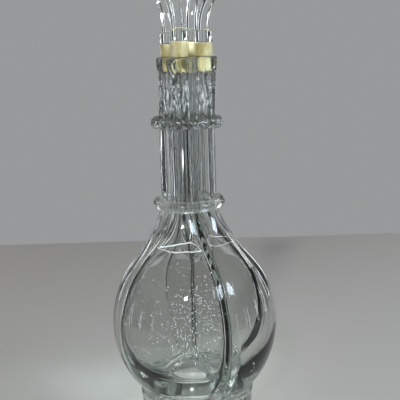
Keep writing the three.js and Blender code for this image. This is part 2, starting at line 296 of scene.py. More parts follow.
def foot_field(x, y, z):
    """The ring of glass under the bulb."""
    rho = np.hypot(x, y)
    side = FOOT_RADIUS - FOOT_TAPER * (1 - np.clip(z / FOOT_TOP_Z, 0, 1) ** FOOT_CURVE)
    rise = np.clip(z / FOOT_SEAT_Z, 0, FOOT_HOLLOW_END)
    hollow = FOOT_HOLLOW_RADIUS + (FOOT_SEAT_RADIUS - FOOT_HOLLOW_RADIUS) * rise
    foot = soft_both(rho - side, z - FOOT_TOP_Z + FOOT_TOP_GAP, FOOT_TOP_BLEND)
    foot = soft_both(foot, -z, EDGE_BLEND)
    foot = soft_both(foot, hollow - rho, EDGE_BLEND)
    return soft_both(foot, SEAT_GAP - body_outside(x, y, z), SEAT_BLEND)


def glass_hollow(x, y, z):
    """The insides of the four chambers and their necks."""
    x, y = upright(x, y, z)
    rho = np.hypot(x, y)
    near, far = np.abs(x), np.abs(y)
    radius = np.interp(z, OUTLINE[:, 1], OUTLINE[:, 0])
    steep = 1 / np.sqrt(1 + np.interp(z, OUTLINE[:, 1], OUTLINE_SLOPE) ** 2)
    roundness = smoothstep(z, SHOULDER_Z, NECK_BASE_Z)
    mouth_wall = quarter_circle(MOUTH_BUNDLE_RADIUS, 0.0)[1] - MOUTH_BORE
    neck_wall = NECK_WALL + (mouth_wall - NECK_WALL) * smoothstep(z, FLARE_Z, RIM_Z)
    wall = BULB_WALL + (neck_wall - BULB_WALL) * roundness
    inset = HALF_PARTITION + (neck_wall - HALF_PARTITION) * roundness

    widest = BULB_RADIUS - BULB_WALL
    depth = EQUATOR_Z - FLOOR_Z
    bowl = (np.sqrt((rho / widest) ** 2 + ((z - EQUATOR_Z) / depth) ** 2) - 1) * depth
    shell = np.where(z < EQUATOR_Z, bowl, (rho - radius) * steep + wall)
    centre, tube = quarter_circle(radius - wall, inset)
    corner = AXIS_ROUND + (CORNER_ROUND - AXIS_ROUND) * smoothstep(rho, *AXIS_ZONE)
    corner = np.minimum(corner, WIDEST_ROUND * tube)
    walls = [inset + corner - near, inset + corner - far, shell + corner]
    outer = np.sqrt(sum(np.maximum(side, 0) ** 2 for side in walls))
    inner = np.minimum(np.maximum.reduce(walls), 0)
    quarter = outer + inner - corner
    bore = np.hypot(near - centre, far - centre) - tube
    kick_up = (np.sqrt((rho / (PUNT_RADIUS + PUNT_COVER)) ** 2
                       + ((z - UNDERSIDE_Z) / (PUNT_HEIGHT + PUNT_COVER)) ** 2) - 1) * PUNT_HEIGHT
    quarter = soft_both(quarter, -kick_up, CORNER_ROUND)
    hollow = quarter * (1 - roundness) + bore * roundness
    wrinkles = WRINKLE_DEPTH * smoothstep(z, RIM_Z - WRINKLE_REACH, RIM_Z - WRINKLE_FULL)
    calm = 1 - smoothstep(z, RIM_Z - LIP_HEIGHT, RIM_Z)
    uneven = BORE_RIPPLE * ripple(x, y, z, INSIDE_PHASE) + wrinkles * crumple(x, y, z)
    return hollow + uneven * calm


def glass_field(x, y, z):
    return soft_both(body_outside(x, y, z), -glass_hollow(x, y, z), RIM_BLEND)


def grid_steps(low, high, fine_zones):
    """Positions from low to high, closer together inside the fine zones."""
    places = [low]
    while places[-1] < high:
        at = places[-1]
        fine = any(start <= at < end for start, end in fine_zones)
        places.append(at + (FINE_CELL if fine else CELL))
    return np.array(places)


def grid_surface(field, steps):
    """Quads over the surface where field is zero: one point in each grid cell that the surface crosses."""
    values = field(*np.meshgrid(*steps, indexing="ij")).astype(np.float32)
    inside = values < 0
    cells = tuple(n - 1 for n in values.shape)
    sums = np.zeros((cells[0] * cells[1] * cells[2], 3), np.float32)
    hits = np.zeros(sums.shape[0], np.float32)
    quads = []
    for axis in range(3):
        span = [slice(None)] * 3
        span[axis] = slice(None, -1)
        first = tuple(span)
        span[axis] = slice(1, None)
        second = tuple(span)
        edge = np.argwhere(inside[first] != inside[second])
        others = [a for a in range(3) if a != axis]
        keep = np.ones(len(edge), bool)
        for other in others:
            keep &= (edge[:, other] > 0) & (edge[:, other] < values.shape[other] - 1)
        edge = edge[keep]
        start = values[first][tuple(edge.T)]
        end = values[second][tuple(edge.T)]
        crossing = edge.astype(np.float32)
        crossing[:, axis] += start / (start - end)
        around = []
        for back in ((0, 0), (1, 0), (1, 1), (0, 1)):
            at = edge.copy()
            at[:, others[0]] -= back[0]
            at[:, others[1]] -= back[1]
            flat = np.ravel_multi_index(tuple(at.T), cells)
            np.add.at(sums, flat, crossing)
            np.add.at(hits, flat, 1)
            around.append(flat)
        ring = np.stack(around, 1)
        flip = (start < 0) == (axis == 1)
        ring[flip] = ring[flip][:, ::-1]
        quads.append(ring)
    quads = np.vstack(quads)
    used, compact = np.unique(quads, return_inverse=True)
    at = sums[used] / hits[used][:, None]
    points = [np.interp(at[:, axis], np.arange(len(steps[axis])), steps[axis]) for axis in range(3)]
    return np.stack(points, 1), compact.reshape(quads.shape)


def field_slope(field, points):
    """Slope of the field at each point, which stands square to its surface."""
    slope = np.empty_like(points)
    for axis in range(3):
        step = np.zeros(3)
        step[axis] = SLOPE_REACH
        slope[:, axis] = (field(*(points + step).T) - field(*(points - step).T)) / (2 * SLOPE_REACH)
    return slope


def pull_to_surface(field, points):
    """Moves each point along the field's slope until it lies on the zero surface."""
    for _ in range(PULL_ROUNDS):
        slope = field_slope(field, points)
        length = np.maximum((slope ** 2).sum(1), FLATTEST_SLOPE)
        move = slope * (field(*points.T) / length)[:, None]
        points = points - np.clip(move, -LONGEST_PULL, LONGEST_PULL)
    return points


def glass_piece(name, field, across, heights, material):
    """A piece of glass drawn from its field, shaded with the field's own slopes."""
    points, quads = grid_surface(field, (across, across, heights))
    points = pull_to_surface(field, points)
    points[:, 2] = np.maximum(points[:, 2], 0)
    slope = field_slope(field, points)
    piece = mesh_object(name, points, quads, material, "decanter")
    piece.data.normals_split_custom_set_from_vertices(slope / np.linalg.norm(slope, axis=1)[:, None])
    return piece


def build_body(material):
    margin = GRID_MARGIN * CELL
    side = BULB_RADIUS + margin
    across = grid_steps(-side, side, [(-SEAM_ZONE, SEAM_ZONE)])
    heights = grid_steps(UNDERSIDE_Z - margin, RIM_Z + margin, [(SHOULDER_Z - SHOULDER_ZONE, NECK_BASE_Z)])
    piece = glass_piece("fused_chambers", glass_field, across, heights, material)
    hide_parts(*CHAMBERS)


def build_rings(materials):
    margin = GRID_MARGIN * FINE_CELL
    side = RING_RADIUS + margin
    half = RING_SECTION + margin
    across = np.arange(-side, side, FINE_CELL)
    for node, ring_z, phase, material in zip(RINGS, RING_HEIGHTS, RING_PHASES, materials):
        heights = np.arange(ring_z - half, ring_z + half, FINE_CELL)
        piece = glass_piece(f"thread_{node}", ring_thread(ring_z, phase), across, heights, material)
        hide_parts(node)


def build_foot(material):
    side = FOOT_RADIUS + GRID_MARGIN * CELL
    margin = GRID_MARGIN * FINE_CELL
    across = np.arange(-side, side, CELL)
    heights = np.arange(-margin, FOOT_TOP_Z + margin, FINE_CELL)
    piece = glass_piece("foot_ring", foot_field, across, heights, material)
    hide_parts("foot")


# Stoppers

FINIAL_BASE_HEIGHT = 0.0075
HORN_HEIGHT = 0.0243
HORN_WIDTH = 0.0088
HORN_DEPTH = 0.0079
HORN_TIP_DEPTH = 0.0063
HORN_REACH = 0.0084
HORN_BEND = 2.4
HORN_TIP_ROUND = 0.003
HORN_START = 0.0008           # first loop of the horn above its base
HORN_END = 0.9995             # last loop, of the horn's height
HORN_LOOPS = 20
TIP_LOOPS = 8
TIP_SWEEP = (0.2, 1.5)        # turn of the first and last loop of the rounded tip
FINIAL_TURNS = {"back_left": math.radians(-35)}
PEG_RADIUS = 0.0034
PEG_LENGTH = 0.0072
STOPPER_GAP = 0.0003
STOPPER_POINTS = 48
FINIAL_EDGE_ROUND = 0.0009
PLUG_EDGE_ROUND = 0.0005
PLUG_END_RADIUS = 0.0043
PLUG_TOP_RADIUS = 0.0049
CLOSED_RADIUS = 0.0001        # smallest loop, which a fan of faces closes
ROUND_STEPS = 4               # points of a rounded corner
ARM_LIMIT = 2.2               # a rounded corner takes less than half of the sides beside it


def loft(levels):
    """Points and faces of a closed solid through a stack of loops with a fan at each end."""
    count = len(levels[0])
    points = [point for level in levels for point in level]
    faces = []
    for row in range(len(levels) - 1):
        for i in range(count):
            a = row * count + i
            b = row * count + (i + 1) % count
            faces.append((a, b, b + count, a + count))
    last = (len(levels) - 1) * count
    points.append(np.mean(levels[0], axis=0))
    points.append(np.mean(levels[-1], axis=0))
    bottom, top = len(points) - 2, len(points) - 1
    for i in range(count):
        nxt = (i + 1) % count
        faces.append((bottom, nxt, i))
        faces.append((top, last + i, last + nxt))
    return points, faces


def oval(centre, depth_axis, half_depth, half_width):
    """Loop of points round a centre, tilted along its depth."""
    angle = np.linspace(0, 2 * math.pi, STOPPER_POINTS, endpoint=False)[:, None]
    side = np.array([0.0, 1.0, 0.0])
    return np.array(centre) + half_depth * np.cos(angle) * depth_axis + half_width * np.sin(angle) * side


def level_round(radius, z):
    """Level circle round the axis."""
    return oval((0, 0, z), np.array([1.0, 0, 0]), radius, radius)


def rounded_profile(corners, radius):
    """A profile of (radius, height) corners with each inner corner turned into a short curve."""
    out = [np.array(corners[0])]
    for before, at, after in zip(corners, corners[1:], corners[2:]):
        before, at, after = (np.array(p, float) for p in (before, at, after))
        arm = min(radius, np.linalg.norm(before - at) / ARM_LIMIT, np.linalg.norm(after - at) / ARM_LIMIT)
        start = at + (before - at) / np.linalg.norm(before - at) * arm
        end = at + (after - at) / np.linalg.norm(after - at) * arm
        for t in np.linspace(0, 1, ROUND_STEPS):
            out.append((1 - t) ** 2 * start + 2 * (1 - t) * t * at + t ** 2 * end)
    out.append(np.array(corners[-1]))
    return out


def horn_level(height):
    """Loop of the horn at a height above its base, square to its bend."""
    rise = height / HORN_HEIGHT
    centre = (HORN_REACH * rise ** HORN_BEND, 0, height)
    lean = HORN_REACH * HORN_BEND * rise ** (HORN_BEND - 1) / HORN_HEIGHT
    depth_axis = np.array([1, 0, -lean]) / math.hypot(1, lean)
    into_tip = max(0.0, (height - HORN_HEIGHT + HORN_TIP_ROUND) / HORN_TIP_ROUND)
    tip = math.sqrt(max(0.0, 1 - into_tip ** 2))
    half_depth = (HORN_DEPTH + (HORN_TIP_DEPTH - HORN_DEPTH) * rise) / 2 * tip
    return oval(centre, depth_axis, half_depth, HORN_WIDTH / 2 * tip)


def build_finial(quarter, material):
    """Peg, short cylinder and curved horn of one finial."""
    low, high = node_low(f"plug_{quarter}"), node_high(f"plug_{quarter}")
    collar_radius = (high.x - low.x) / 2
    node = f"finial_{quarter}"
    peg_z = node_low(node).z
    base_z = high.z + STOPPER_GAP
    shoulder = base_z + FINIAL_BASE_HEIGHT
    corners = [(0, peg_z), (PEG_RADIUS, peg_z), (PEG_RADIUS, base_z), (collar_radius, base_z),
               (collar_radius, shoulder), (HORN_WIDTH / 2, shoulder)]
    profile = rounded_profile(corners, FINIAL_EDGE_ROUND)[1:]
    levels = [level_round(radius, z) for radius, z in profile]
    straight = HORN_HEIGHT - HORN_TIP_ROUND
    rounded = straight + HORN_TIP_ROUND * np.sin(np.linspace(*TIP_SWEEP, TIP_LOOPS))
    for height in [*np.linspace(HORN_START, straight, HORN_LOOPS), *rounded]:
        level = horn_level(min(height, HORN_HEIGHT * HORN_END))
        level[:, 2] += shoulder
        levels.append(level)
    points, faces = loft(levels)
    middle = plug_middle(quarter)
    bearing = math.atan2(middle.y, middle.x) + FINIAL_TURNS.get(quarter, 0)
    place = Matrix.Translation((middle.x, middle.y, 0)) @ Matrix.Rotation(bearing, 4, "Z")
    points = [place @ Vector(p) for p in points]
    piece = mesh_object(f"finial_glass_{quarter}", points, faces, material, f"grip_{quarter}")
    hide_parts(node)


def build_plug(quarter, material):
    """Collar and tapered end of one plug, with the hole for its peg."""
    node = f"plug_{quarter}"
    low, high = node_low(node), node_high(node)
    collar = (high.x - low.x) / 2
    middle = plug_middle(quarter)
    underside = RIM_Z + STOPPER_GAP
    hole = PEG_RADIUS + STOPPER_GAP
    hole_z = high.z - PEG_LENGTH
    corners = [(CLOSED_RADIUS, low.z), (PLUG_END_RADIUS, low.z), (PLUG_TOP_RADIUS, underside),
               (collar, underside), (collar, high.z), (hole, high.z), (hole, hole_z), (CLOSED_RADIUS, hole_z)]
    profile = rounded_profile(corners, PLUG_EDGE_ROUND)
    levels = [level_round(radius, z) for radius, z in profile]
    points, faces = loft(levels)
    points = [Vector(p) + Vector((middle.x, middle.y, 0)) for p in points]
    piece = mesh_object(f"plug_moulding_{quarter}", points, faces, material, f"stopper_{quarter}")
    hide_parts(node)


# Dried marks on the inside of the glass, partly whitened as painted glints and highlights, and bubbles in it
# drawn whitish as painted glints

TIDE_Z = 0.127
FAINT_TIDE_Z = 0.1285
TIDE_HALF = 0.00036
FAINT_TIDE_HALF = 0.00016
TIDE_POINTS = 180
TIDE_SIDES = 8
TIDE_WAVER = (0.0003, 0.00012)
TIDE_RAGGED = 0.35
CHAMBER_MIDDLE = 0.016        # from each partition to a point well inside a chamber
WALL_STEPS = 400
DROP_SEED = 4
DROP_REACH = 0.022            # inside the front chamber, where its drops are cast from
DROP_STAND = 0.3              # of its radius, from the wall to a drop's middle
# Drops are dried residue, made bright enough to serve as painted glints as well
# Count, turn in degrees from the camera's side, height, smallest and largest radius, stretch
DROP_PATCHES = [
    (300, (-22, 24), (0.072, 0.118), 0.00022, 0.00060, 1.0),
    (130, (-62, 26), (0.046, 0.128), 0.00024, 0.00060, 1.0),
    (60, (-28, 22), (0.054, 0.092), 0.00026, 0.00048, 3.2),
]
# Whitish runs in the upper necks: partly dried residue, partly painted highlights of streaks of light down
# the necks
NECK_PATCHES = [
    (26, (-95, 95), (RIM_Z - 0.028, RIM_Z - 0.012), 0.00022, 0.00046, 1.6),
    (34, (-80, 80), (RIM_Z - 0.046, RIM_Z - 0.016), 0.00020, 0.00034, 12.0),
]
SEED_SIZES = (0.00022, 0.00046)
SEED_COVER = 0.0008           # glass over a bubble's middle
SEED_PLACES = 4000            # places tried in each box, of which those in the glass are used
RING_SEEDS = 220
BASE_SEEDS = 150
BASE_SEED_TOP = EQUATOR_Z - 0.02


def quarter_signs(quarter):
    """Sides of the two partitions that a chamber lies on."""
    middle = plug_middle(quarter)
    return math.copysign(1, middle.x), math.copysign(1, middle.y)


def reach_of_wall(start, way):
    """Distance from each point inside a chamber, along its direction, to the first wall."""
    steps = np.linspace(0, BULB_RADIUS, WALL_STEPS)
    places = start[:, None, :] + way[:, None, :] * steps[None, :, None]
    value = glass_hollow(places[..., 0], places[..., 1], places[..., 2])
    after = np.maximum(np.argmax(value > 0, axis=1), 1)
    row = np.arange(len(way))
    before_value, after_value = value[row, after - 1], value[row, after]
    share = before_value / (before_value - after_value)
    return steps[after - 1] + share * (steps[after] - steps[after - 1])


def build_tide_line(quarter, height, half, material):
    """The dried line that the last liquid left round the inside of a chamber."""
    signs = quarter_signs(quarter)
    centre = np.array([CHAMBER_MIDDLE * signs[0], CHAMBER_MIDDLE * signs[1], height])
    turn = np.linspace(0, 2 * math.pi, TIDE_POINTS, endpoint=False)
    way = np.stack([np.cos(turn), np.sin(turn), 0 * turn], 1)
    wall = reach_of_wall(centre + 0 * way, way)
    thick = half * (1 + TIDE_RAGGED * np.sin(5 * turn) * np.sin(13 * turn + 1))
    waver = TIDE_WAVER[0] * np.sin(3 * turn) + TIDE_WAVER[1] * np.sin(11 * turn)
    loops = []
    for step in np.linspace(0, 2 * math.pi, TIDE_SIDES, endpoint=False):
        depth = wall - half * 0.5 + 0.5 * thick * math.cos(step)
        loop = centre + way * depth[:, None]
        loop[:, 2] += waver + 1.2 * thick * math.sin(step)
        loops.append(loop)
    points = np.vstack(loops)
    faces = []
    for row in range(TIDE_SIDES):
        here = row * TIDE_POINTS
        above = (row + 1) % TIDE_SIDES * TIDE_POINTS
        for i in range(TIDE_POINTS):
            after = (i + 1) % TIDE_POINTS
            faces.append((here + i, above + i, above + after, here + after))
    piece = mesh_object(f"tide_line_{quarter}", points, faces, material, "decanter")


def bead_shell(spots, radii, stretches):
    """Points and faces of closed pointed beads, one at each spot."""
    corners = np.array([(1, 0, 0), (-1, 0, 0), (0, 1, 0), (0, -1, 0), (0, 0, 1), (0, 0, -1)], float)
    sides = [(0, 2, 4), (2, 1, 4), (1, 3, 4), (3, 0, 4), (2, 0, 5), (1, 2, 5), (3, 1, 5), (0, 3, 5)]
    points, faces = [], []
    for spot, radius, stretch in zip(spots, radii, stretches):
        first = len(points)
        points.extend(spot + corners * (radius, radius, radius * stretch))
        faces.extend([tuple(first + i for i in side) for side in sides])
    return points, faces


def build_glint_seeds(name, field, places, count, material):
    """Small bubbles caught in the glass where the field is negative, out of the random places given, drawn
    whitish as painted glints.
    """
    inside = places[field(*places.T) < -SEED_COVER][:count]
    radii = np.random.default_rng(DROP_SEED).uniform(*SEED_SIZES, len(inside))
    points, faces = bead_shell(inside, radii, np.ones(len(inside)))
    piece = mesh_object(name, points, faces, material, "decanter")


def build_all_glint_seeds(material):
    """Bubbles in the upper ring and in the thick base, whitish as painted glints."""
    chance = np.random.default_rng(DROP_SEED)
    ring_low = (-RING_RADIUS, -RING_RADIUS, RING_HEIGHTS[1] - RING_SECTION)
    ring_high = (RING_RADIUS, RING_RADIUS, RING_HEIGHTS[1] + RING_SECTION)
    ring = ring_thread(RING_HEIGHTS[1], RING_PHASES[1])
    build_glint_seeds("ring_upper_glint_seeds", ring, chance.uniform(ring_low, ring_high, (SEED_PLACES, 3)),
                RING_SEEDS, material)
    base_low = (-BULB_RADIUS, -BULB_RADIUS, UNDERSIDE_Z)
    base_high = (BULB_RADIUS, BULB_RADIUS, BASE_SEED_TOP)
    build_glint_seeds("base_glint_seeds", glass_field, chance.uniform(base_low, base_high, (SEED_PLACES, 3)),
                BASE_SEEDS, material)


def build_beads(name, patches, centre, reach, material):
    """Small dried drops and runs on the inside of a wall, seen from the centre in the patches' directions;
    their whiteness is partly painted glints.
    """
    chance = np.random.default_rng(DROP_SEED)
    spots, radii, stretches = [], [], []
    for count, turns, heights, smallest, largest, stretch in patches:
        turn = chance.uniform(*turns, (2, count)).mean(axis=0)
        bearing = CAMERA_BEARING + np.radians(turn)
        way = np.stack([np.cos(bearing), np.sin(bearing), 0 * bearing], 1)
        start = way * reach + (*centre, 0)
        start[:, 2] = chance.uniform(*heights, (2, count)).mean(axis=0)
        radius = smallest + (largest - smallest) * chance.random(count) ** 2
        spots.extend(start + way * (reach_of_wall(start, way) - DROP_STAND * radius)[:, None])
        radii.extend(radius)
        stretches.extend([stretch] * count)
    points, faces = bead_shell(spots, radii, stretches)
    piece = mesh_object(name, points, faces, material, "decanter")


# Materials

# Noise patterns: scale, and how far each is drawn out along the height
CORDS = (300, 180)
FOLDS = (190, 9.0)
CRINKLES = (480, 2.0)
CRINKLE_PATCHES = (110, 5.0)
# The next three patterns draw painted shade into the glass's colour of the necks and the upper ring
PAINTED_SHADE_CORDS = (400, 220)
PAINTED_SHADE_STREAKS = (300, 5.0)
PAINTED_SHADE_FLECKS = (620, 1.0)
RING_LUMPS = (420, 1.0)
SLOW_WAVES = (90, 1.0)
PLASTIC_CLOUDS = (130, 2.0)
SMEAR_SCALE = 60
RESIDUE_SCALE = 700

# Where the necks' own surface shows: start and end of each change
OUTERMOST = (0.0165, 0.0185)
BELOW_RIMS = (RIM_Z, RIM_Z - 0.002)
ABOVE_BULB = (NECK_BASE_Z - 0.006, NECK_BASE_Z + 0.004)
NECK_TOPS = (RING_HEIGHTS[1] - 0.002, RING_HEIGHTS[1] + 0.012)
# Span of distance from the upper ring's middle over which painted shade darkens its top and bottom edges
PAINTED_SHADE_RING_EDGES = (0.55 * RING_SECTION, 0.8 * RING_SECTION)
SCUFFED_RADIUS = (0.030, 0.024)
SCUFFED_HEIGHT = (0.045, 0.036)

CORD_HEIGHT = 0.30            # of the crinkles' height
# Share of painted shade in the upper ring's dark flecks
PAINTED_FLECK_SHADE = 0.6
SMEAR_ROUGHNESS = 0.05
SCUFF_ROUGHNESS = 0.17
NECK_RELIEF = 0.0016
RING_RELIEF = 0.0010
SOFT_RELIEF = 0.0004
LOWER_RING_HAZE = 0.16
FINIAL_HAZE = 0.04
GLASS_IOR = 1.47
GLASS_TINT = (0.865, 0.868, 0.862, 1)
# Colour of the painted shade in the necks and the upper ring
PAINTED_GLASS_SHADE = (0.16, 0.18, 0.17, 1)
# Paler tint than GLASS_TINT: painted light that makes the lower ring and the finials render brighter than the
# body
PAINTED_LIGHT_TINT = (0.97, 0.985, 0.975, 1)
GLASS_DEPTH_TINT = (0.60, 0.73, 0.65, 1)
GLASS_DENSITY = 15
SHADOW_TINT = (0.95, 0.955, 0.95, 1)
YELLOWING = ((0.30, (0.30, 0.21, 0.05)), (0.43, (0.62, 0.535, 0.22)), (0.60, (0.94, 0.88, 0.53)))
# Whites of the dried residue, also used for painted glints and highlights
RESIDUE_AND_GLINT_WHITES = ((0.70, 0.71, 0.71, 1), (0.95, 0.96, 0.95, 1))


def new_material(name):
    material = bpy.data.materials.new(name)
    material.use_nodes = True
    tree = material.node_tree
    return material, tree, tree.nodes["Principled BSDF"]


def noise_node(tree, scale, detail):
    node = tree.nodes.new("ShaderNodeTexNoise")
    node.inputs["Scale"].default_value = scale
    node.inputs["Detail"].default_value = detail
    return node


def ramp_node(tree, value, start, end):
    """0 below start and 1 above end, smooth between them."""
    node = tree.nodes.new("ShaderNodeMapRange")
    node.interpolation_type = "SMOOTHSTEP"
    node.inputs["From Min"].default_value = start
    node.inputs["From Max"].default_value = end
    tree.links.new(value, node.inputs["Value"])
    return node.outputs["Result"]


def math_node(tree, operation, *values):
    node = tree.nodes.new("ShaderNodeMath")
    node.operation = operation
    for socket, value in zip(node.inputs, values):
        if isinstance(value, (int, float)):
            socket.default_value = value
        else:
            tree.links.new(value, socket)
    return node.outputs["Value"]


def product(tree, first, *others):
    for other in others:
        first = math_node(tree, "MULTIPLY", first, other)
    return first


def mix_colours(tree, share, first, second):
    mix = tree.nodes.new("ShaderNodeMix")
    mix.data_type = "RGBA"
    tree.links.new(share, mix.inputs["Factor"])
    for name, value in (("A", first), ("B", second)):
        if isinstance(value, tuple):
            mix.inputs[name].default_value = value
        else:
            tree.links.new(value, mix.inputs[name])
    return mix.outputs["Result"]


def streaked_noise(tree, coords, pattern, detail=1):
    """Noise drawn out along the object's height."""
    scale, stretch = pattern
    mapping = tree.nodes.new("ShaderNodeMapping")
    mapping.inputs["Scale"].default_value = (1, 1, 1 / stretch)
    tree.links.new(coords.outputs["Object"], mapping.inputs["Vector"])
    noise = noise_node(tree, scale, detail)
    tree.links.new(mapping.outputs["Vector"], noise.inputs["Vector"])
    return noise.outputs["Fac"]


def object_place(tree, coords):
    """Distance from the object's axis, and height."""
    split = tree.nodes.new("ShaderNodeSeparateXYZ")
    tree.links.new(coords.outputs["Object"], split.inputs["Vector"])
    squares = [math_node(tree, "POWER", split.outputs[axis], 2.0) for axis in "XY"]
    return math_node(tree, "SQRT", math_node(tree, "ADD", *squares)), split.outputs["Z"]


def outside_of_necks(tree, coords):
    """1 on the outermost sides of the necks, 0 elsewhere on the body."""
    rho, height = object_place(tree, coords)
    return product(tree, ramp_node(tree, height, *BELOW_RIMS), ramp_node(tree, height, *ABOVE_BULB),
                   ramp_node(tree, rho, *OUTERMOST))


def neck_tops(tree, coords):
    """1 on the necks above the upper ring, 0 below it."""
    _, height = object_place(tree, coords)
    return ramp_node(tree, height, *NECK_TOPS)


def neck_bump(tree, coords):
    """Drawn lines down the necks, and a crinkled surface in their uppermost stretch."""
    cords = streaked_noise(tree, coords, CORDS)
    folds = streaked_noise(tree, coords, FOLDS)
    patches = ramp_node(tree, streaked_noise(tree, coords, CRINKLE_PATCHES), 0.44, 0.56)
    crinkles = product(tree, streaked_noise(tree, coords, CRINKLES), patches)
    tops = product(tree, math_node(tree, "ADD", crinkles, folds), neck_tops(tree, coords))
    both = math_node(tree, "MULTIPLY_ADD", cords, CORD_HEIGHT, tops)
    return product(tree, both, outside_of_necks(tree, coords))


def painted_neck_shade(tree, coords):
    """Painted shade in the glass's colour: dark cords down the necks, and dark streaks between the crinkles
    of their tops.
    """
    cords = ramp_node(tree, streaked_noise(tree, coords, PAINTED_SHADE_CORDS), 0.54, 0.60)
    streaks = ramp_node(tree, streaked_noise(tree, coords, PAINTED_SHADE_STREAKS), 0.53, 0.58)
    streaks = product(tree, streaks, neck_tops(tree, coords))
    return product(tree, math_node(tree, "MAXIMUM", cords, streaks), outside_of_necks(tree, coords))


def painted_ring_shade(tree, coords):
    """Painted shade: darker top and bottom edges of the upper ring, with painted dark flecks between them."""
    _, height = object_place(tree, coords)
    from_middle = math_node(tree, "ABSOLUTE", math_node(tree, "SUBTRACT", height, RING_HEIGHTS[1]))
    flecks = ramp_node(tree, streaked_noise(tree, coords, PAINTED_SHADE_FLECKS), 0.50, 0.56)
    return math_node(tree, "MAXIMUM", ramp_node(tree, from_middle, *PAINTED_SHADE_RING_EDGES),
                     product(tree, flecks, PAINTED_FLECK_SHADE))


def lumpy_bump(tree, coords):
    """The lumpy surface of the upper ring."""
    return streaked_noise(tree, coords, RING_LUMPS)


def soft_bump(tree, coords):
    """Slow waves of fire-polished glass."""
    return streaked_noise(tree, coords, SLOW_WAVES)


def glass_roughness(tree, coords, haze):
    """Faint smears all over, and a scuffed dome in the underside."""
    smears = noise_node(tree, SMEAR_SCALE, 4)
    tree.links.new(coords.outputs["Object"], smears.inputs["Vector"])
    rough = tree.nodes.new("ShaderNodeMapRange")
    rough.inputs["From Min"].default_value = 0.5
    rough.inputs["From Max"].default_value = 0.8
    rough.inputs["To Min"].default_value = haze
    rough.inputs["To Max"].default_value = haze + SMEAR_ROUGHNESS
    tree.links.new(smears.outputs["Fac"], rough.inputs["Value"])
    rho, above_table = object_place(tree, coords)
    scuffed = product(tree, ramp_node(tree, rho, *SCUFFED_RADIUS),
                      ramp_node(tree, above_table, *SCUFFED_HEIGHT), SCUFF_ROUGHNESS)
    return math_node(tree, "ADD", rough.outputs["Result"], scuffed)


def let_light_through(tree, shader):
    """Lets the light that casts shadows pass straight through the glass."""
    path = tree.nodes.new("ShaderNodeLightPath")
    clear = tree.nodes.new("ShaderNodeBsdfTransparent")
    clear.inputs["Color"].default_value = SHADOW_TINT
    mix = tree.nodes.new("ShaderNodeMixShader")
    tree.links.new(path.outputs["Is Shadow Ray"], mix.inputs["Fac"])
    tree.links.new(shader.outputs["BSDF"], mix.inputs[1])
    tree.links.new(clear.outputs["BSDF"], mix.inputs[2])
    tree.links.new(mix.outputs["Shader"], tree.nodes["Material Output"].inputs["Surface"])


def glass_material(name, relief, distance, shade=None, haze=0.0, tint=GLASS_TINT):
    """Clear glass with a green depth, the relief given, and painted shade in its colour where shade says."""
    material, tree, shader = new_material(name)
    coords = tree.nodes.new("ShaderNodeTexCoord")
    shader.inputs["Transmission Weight"].default_value = 1
    shader.inputs["IOR"].default_value = GLASS_IOR
    if shade:
        # painted shade mixed into the glass's colour
        tree.links.new(mix_colours(tree, shade(tree, coords), tint, PAINTED_GLASS_SHADE), shader.inputs["Base Color"])
    else:
        shader.inputs["Base Color"].default_value = tint
    tree.links.new(glass_roughness(tree, coords, haze), shader.inputs["Roughness"])
    bump = tree.nodes.new("ShaderNodeBump")
    bump.inputs["Strength"].default_value = 1.0
    bump.inputs["Distance"].default_value = distance
    tree.links.new(relief(tree, coords), bump.inputs["Height"])
    tree.links.new(bump.outputs["Normal"], shader.inputs["Normal"])
    absorb = tree.nodes.new("ShaderNodeVolumeAbsorption")
    absorb.inputs["Color"].default_value = GLASS_DEPTH_TINT
    absorb.inputs["Density"].default_value = GLASS_DENSITY
    tree.links.new(absorb.outputs["Volume"], tree.nodes["Material Output"].inputs["Volume"])
    let_light_through(tree, shader)
    return material


def plastic_material():
    """Soft pale plastic, yellowed in clouds."""
    material, tree, shader = new_material("aged_plug_plastic")
    coords = tree.nodes.new("ShaderNodeTexCoord")
    ramp = tree.nodes.new("ShaderNodeValToRGB")
    ramp.color_ramp.elements.new(0.5)
    for element, (place, colour) in zip(ramp.color_ramp.elements, YELLOWING):
        element.position = place
        element.color = (*colour, 1)
    tree.links.new(streaked_noise(tree, coords, PLASTIC_CLOUDS, 3), ramp.inputs["Fac"])
    tree.links.new(ramp.outputs["Color"], shader.inputs["Base Color"])
    shader.inputs["Roughness"].default_value = 0.42
    shader.inputs["Subsurface Weight"].default_value = 0.05
    shader.inputs["Subsurface Radius"].default_value = (0.002, 0.0016, 0.0008)
    shader.inputs["Subsurface Scale"].default_value = 1.0
    shader.inputs["Specular IOR Level"].default_value = 0.8
    shader.inputs["Coat Weight"].default_value = 1.0
    shader.inputs["Coat Roughness"].default_value = 0.34
    return material


def residue_and_glint_material():
    """Whitish residue of dried drops, patchy; its whiteness also serves as painted glints and highlights on
    the drops, neck runs and bubbles.
    """
    material, tree, shader = new_material("dried_residue_and_glints")
    coords = tree.nodes.new("ShaderNodeTexCoord")
    patches = noise_node(tree, RESIDUE_SCALE, 3)
    tree.links.new(coords.outputs["Object"], patches.inputs["Vector"])
    ramp = tree.nodes.new("ShaderNodeValToRGB")
    for element, colour in zip(ramp.color_ramp.elements, RESIDUE_AND_GLINT_WHITES):
        element.color = colour
    tree.links.new(patches.outputs["Fac"], ramp.inputs["Fac"])
    tree.links.new(ramp.outputs["Color"], shader.inputs["Base Color"])
    shader.inputs["Roughness"].default_value = 0.45
    return material


def floor_material():
    material, _, shader = new_material("pale_floor")
    shader.inputs["Base Color"].default_value = FLOOR_COLOUR
    shader.inputs["Roughness"].default_value = 0.85
    return material


# Camera and floor

